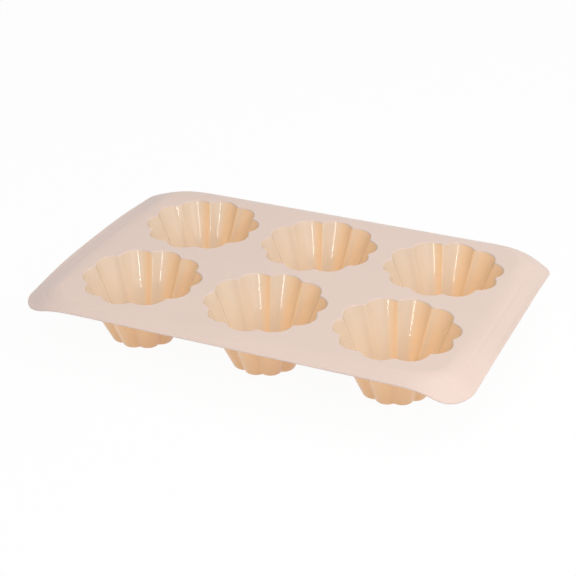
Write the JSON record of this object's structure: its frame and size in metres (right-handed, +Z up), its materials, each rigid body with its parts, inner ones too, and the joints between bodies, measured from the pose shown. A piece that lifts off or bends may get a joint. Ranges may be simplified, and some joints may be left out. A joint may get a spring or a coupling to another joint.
{
  "type": "silicone muffin mould",
  "caption": "Soft silicone muffin mould: fluted, tapered cups hang from a flat deck that ends in a sloping rim with drooping corners.",
  "frame": {"origin": "on the table under the middle of the deck, in the plane of the cup floors' undersides", "axes": "+X along the rows of cups, +Y from the front row to the back row, +Z up out of the cups' mouths"},
  "size_m": [0.2696, 0.1748, 0.0374],
  "materials": {
    "deck_silicone": "satin translucent silicone, pale peach",
    "rim_silicone": "satin translucent silicone, pale peach",
    "cup_silicone": "glossy translucent silicone, warm peach"
  },
  "bodies": {
    "root": {"deck": "deck_silicone", "rim": "rim_silicone", "cup_front_left": "cup_silicone", "cup_front_middle": "cup_silicone", "cup_front_right": "cup_silicone", "cup_back_left": "cup_silicone", "cup_back_middle": "cup_silicone", "cup_back_right": "cup_silicone"}
  },
  "joints": []
}
